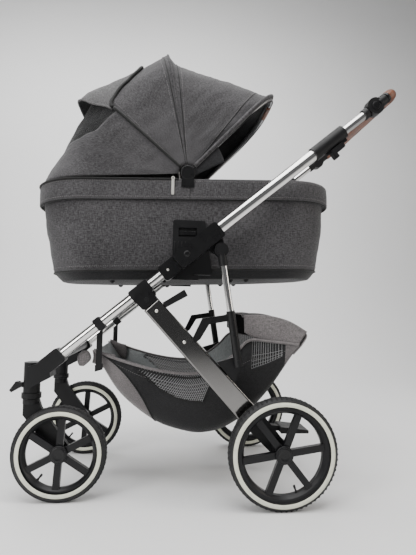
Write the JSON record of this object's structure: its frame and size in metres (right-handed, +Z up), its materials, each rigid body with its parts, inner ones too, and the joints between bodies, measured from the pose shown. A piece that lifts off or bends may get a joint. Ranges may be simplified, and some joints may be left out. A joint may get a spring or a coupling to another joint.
{
  "type": "baby stroller",
  "caption": "Folding baby stroller with a lift-off carrycot, fan hood, telescopic leather handle, shopping basket and swivelling front wheels.",
  "frame": {"origin": "on the floor, under the middle of the overall length and width", "axes": "+X towards the person who pushes, +Z up, the stroller's left side is -Y"},
  "size_m": [1.0708, 0.606, 1.3083],
  "materials": {
    "chrome_tube": "polished tube",
    "polished_leg": "mirror-polished flat section",
    "black_plastic": "satin moulded nylon",
    "black_rim": "satin moulded wheel plastic",
    "tyre": "rubber tread",
    "grey_fabric": "melange grey woven cloth",
    "basket_fabric": "black cloth and mesh",
    "mattress_fabric": "light cotton cover",
    "brown_leather": "stitched brown leather",
    "zip_metal": "nickel-plated",
    "bow_wire": "anodised wire"
  },
  "bodies": {
    "frame": {"main_tubes": "chrome_tube", "castor_housings": "black_plastic", "front_crossbar": "chrome_tube", "leg_pivot_blocks": "black_plastic", "fold_joint_lowers": "black_plastic", "adapter_posts": "black_plastic", "basket": "basket_fabric", "basket_clips": "black_plastic"},
    "push_frame": {"fold_joint_uppers": "black_plastic", "handle_tubes": "chrome_tube", "tube_clamps": "black_plastic"},
    "handle_slide": {"telescopic_tubes": "chrome_tube", "knuckle_bases": "black_plastic"},
    "handle": {"knuckle_caps": "black_plastic", "handle_bar": "chrome_tube", "handle_grip": "brown_leather"},
    "knuckle_button_left": {"knuckle_button_left": "black_plastic"},
    "knuckle_button_right": {"knuckle_button_right": "black_plastic"},
    "fold_trigger_left": {"fold_trigger_left": "black_plastic"},
    "fold_trigger_right": {"fold_trigger_right": "black_plastic"},
    "rear_frame": {"rear_legs": "polished_leg", "leg_top_caps": "black_plastic", "wheel_carriers": "black_plastic", "rear_axle_beam": "chrome_tube", "strut_brackets": "black_plastic", "fold_hooks": "black_plastic"},
    "struts": {"strut_sleeves": "black_plastic", "strut_tubes": "chrome_tube", "strut_heads": "black_plastic"},
    "rear_wheel_left": {"rear_tyre_left": "tyre", "rear_rim_left": "black_rim"},
    "rear_wheel_right": {"rear_tyre_right": "tyre", "rear_rim_right": "black_rim"},
    "castor_left": {"castor_fork_left": "black_plastic"},
    "castor_right": {"castor_fork_right": "black_plastic"},
    "front_wheel_left": {"front_tyre_left": "tyre", "front_rim_left": "black_rim"},
    "front_wheel_right": {"front_tyre_right": "tyre", "front_rim_right": "black_rim"},
    "castor_lock_left": {"castor_lock_left": "black_plastic"},
    "castor_lock_right": {"castor_lock_right": "black_plastic"},
    "brake_pedal": {"brake_pedal": "black_plastic"},
    "carrycot": {"carrycot_shell": "grey_fabric", "mattress": "mattress_fabric", "carrycot_adapters": "black_plastic", "hood_hinge_mounts": "black_plastic", "hood_base_panel": "grey_fabric", "hood_front_panel": "grey_fabric"},
    "carrycot_release_left": {"carrycot_release_left": "black_plastic"},
    "carrycot_release_right": {"carrycot_release_right": "black_plastic"},
    "hood_mid": {"hood_rib": "bow_wire", "hood_rear_panel": "grey_fabric"},
    "hood_front_bow": {"hood_bow": "bow_wire", "carry_grip": "brown_leather"},
    "zip_pull": {"zip_pull": "zip_metal"}
  },
  "joints": [
    {"name": "frame_fold", "type": "hinge", "parent": "frame", "child": "push_frame", "pos_m": [-0.06891, 0, 0.663], "axis": [0, -1, 0], "range_deg": [0, 165]},
    {"name": "rear_frame_fold", "type": "hinge", "parent": "frame", "child": "rear_frame", "pos_m": [-0.17291, 0, 0.538], "axis": [0, 1, 0], "range_deg": [0, 48]},
    {"name": "strut_fold", "type": "hinge", "parent": "rear_frame", "child": "struts", "pos_m": [0.07509, 0, 0.379], "axis": [0, -1, 0], "range_deg": [0, 33.3]},
    {"name": "handle_height", "type": "slide", "parent": "push_frame", "child": "handle_slide", "axis": [0.766, 0, 0.6428], "range_m": [-0.075, 0.03]},
    {"name": "handle_tilt", "type": "hinge", "parent": "handle_slide", "child": "handle", "pos_m": [0.45813, 0, 1.10524], "axis": [0, -1, 0], "range_deg": [-50, 40]},
    {"name": "knuckle_button_left_press", "type": "slide", "parent": "handle", "child": "knuckle_button_left", "axis": [0, 1, 0], "range_m": [0, 0.003], "stiffness_N_per_m": 300, "springref_m": -0.002},
    {"name": "knuckle_button_right_press", "type": "slide", "parent": "handle", "child": "knuckle_button_right", "axis": [0, -1, 0], "range_m": [0, 0.003], "stiffness_N_per_m": 300, "springref_m": -0.002},
    {"name": "fold_trigger_left_pull", "type": "slide", "parent": "push_frame", "child": "fold_trigger_left", "axis": [0.766, 0, 0.6428], "range_m": [0, 0.012], "stiffness_N_per_m": 200, "springref_m": -0.004},
    {"name": "fold_trigger_right_pull", "type": "slide", "parent": "push_frame", "child": "fold_trigger_right", "axis": [0.766, 0, 0.6428], "range_m": [0, 0.012], "stiffness_N_per_m": 200, "springref_m": -0.004},
    {"name": "rear_wheel_left_spin", "type": "hinge", "parent": "rear_frame", "child": "rear_wheel_left", "pos_m": [0.19459, -0.282, 0.145], "axis": [0, 1, 0], "continuous": true},
    {"name": "castor_left_swivel", "type": "hinge", "parent": "frame", "child": "castor_left", "pos_m": [-0.47841, -0.18, 0.266], "axis": [0, 0, 1], "continuous": true},
    {"name": "front_wheel_left_spin", "type": "hinge", "parent": "castor_left", "child": "front_wheel_left", "pos_m": [-0.39241, -0.2045, 0.125], "axis": [0, 1, 0], "continuous": true},
    {"name": "castor_lock_left_flip", "type": "hinge", "parent": "frame", "child": "castor_lock_left", "pos_m": [-0.50741, -0.18, 0.301], "axis": [0, 1, 0], "range_deg": [0, 25]},
    {"name": "carrycot_release_left_lift", "type": "slide", "parent": "carrycot", "child": "carrycot_release_left", "axis": [0, 0, 1], "range_m": [0, 0.005], "stiffness_N_per_m": 200, "springref_m": -0.002},
    {"name": "rear_wheel_right_spin", "type": "hinge", "parent": "rear_frame", "child": "rear_wheel_right", "pos_m": [0.19459, 0.282, 0.145], "axis": [0, 1, 0], "continuous": true},
    {"name": "castor_right_swivel", "type": "hinge", "parent": "frame", "child": "castor_right", "pos_m": [-0.47841, 0.18, 0.266], "axis": [0, 0, 1], "continuous": true},
    {"name": "front_wheel_right_spin", "type": "hinge", "parent": "castor_right", "child": "front_wheel_right", "pos_m": [-0.39241, 0.2045, 0.125], "axis": [0, 1, 0], "continuous": true},
    {"name": "castor_lock_right_flip", "type": "hinge", "parent": "frame", "child": "castor_lock_right", "pos_m": [-0.50741, 0.18, 0.301], "axis": [0, 1, 0], "range_deg": [0, 25]},
    {"name": "carrycot_release_right_lift", "type": "slide", "parent": "carrycot", "child": "carrycot_release_right", "axis": [0, 0, 1], "range_m": [0, 0.005], "stiffness_N_per_m": 200, "springref_m": -0.002},
    {"name": "brake_pedal_press", "type": "hinge", "parent": "rear_frame", "child": "brake_pedal", "pos_m": [0.19459, 0, 0.145], "axis": [0, 1, 0], "range_deg": [0, 20]},
    {"name": "carrycot_lift_off", "type": "slide", "parent": "frame", "child": "carrycot", "axis": [0, 0, -1], "range_m": [-0.25, 0]},
    {"name": "hood_rib_fold", "type": "hinge", "parent": "carrycot", "child": "hood_mid", "pos_m": [-0.06891, 0, 0.905], "axis": [0, -1, 0], "range_deg": [0, 34], "deforming": ["hood_front_panel", "hood_rear_panel"]},
    {"name": "hood_bow_fold", "type": "hinge", "parent": "hood_mid", "child": "hood_front_bow", "pos_m": [-0.06891, 0, 0.905], "axis": [0, -1, 0], "range_deg": [0, 40], "deforming": ["hood_rear_panel"]},
    {"name": "zip_pull_swing", "type": "hinge", "parent": "carrycot", "child": "zip_pull", "pos_m": [-0.11091, -0.1984, 0.887], "axis": [0, 1, 0], "range_deg": [-30, 30]}
  ],
  "couplings": [
    {"joint": "rear_frame_fold", "follows": "frame_fold", "ratio": 0.2909},
    {"joint": "strut_fold", "follows": "frame_fold", "ratio": 0.20181},
    {"joint": "hood_bow_fold", "follows": "hood_rib_fold", "ratio": 1.1764}
  ]
}
